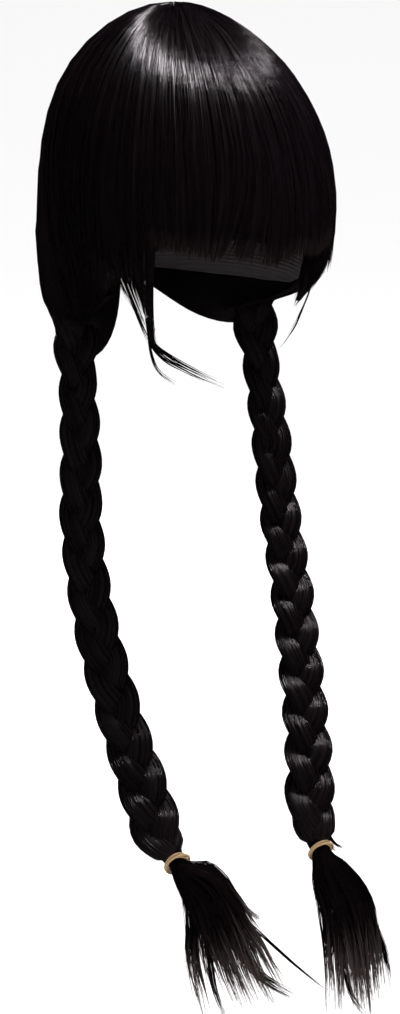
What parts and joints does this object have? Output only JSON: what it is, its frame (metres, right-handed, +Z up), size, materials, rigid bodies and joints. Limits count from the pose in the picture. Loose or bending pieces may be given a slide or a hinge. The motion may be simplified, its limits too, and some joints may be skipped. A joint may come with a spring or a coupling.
{
  "type": "fringed wig with two plaits",
  "caption": "Near-black straight-haired wig with a full fringe, pointed side locks and low plaits tied with tan elastics above loose tails, hollow to sit on a head.",
  "frame": {"origin": "inside top of the head hollow, where the wig sits on the top of a head", "axes": "+Z up, -Y the way the wearer faces, +X the wearer's left"},
  "size_m": [0.1944, 0.2516, 0.687],
  "materials": {
    "hair": "near-black synthetic hair fibre, glossy along the strands",
    "elastic": "tan elastic band, matt"
  },
  "bodies": {
    "root": {"crown_hair": "hair", "fringe": "hair", "side_lock_left": "hair", "side_lock_right": "hair", "bunch_left": "hair", "bunch_right": "hair", "plait_left_strand_1": "hair", "plait_left_strand_2": "hair", "plait_left_strand_3": "hair", "plait_right_strand_1": "hair", "plait_right_strand_2": "hair", "plait_right_strand_3": "hair", "tie_left": "elastic", "tie_right": "elastic", "tail_left": "hair", "tail_right": "hair"}
  },
  "joints": []
}
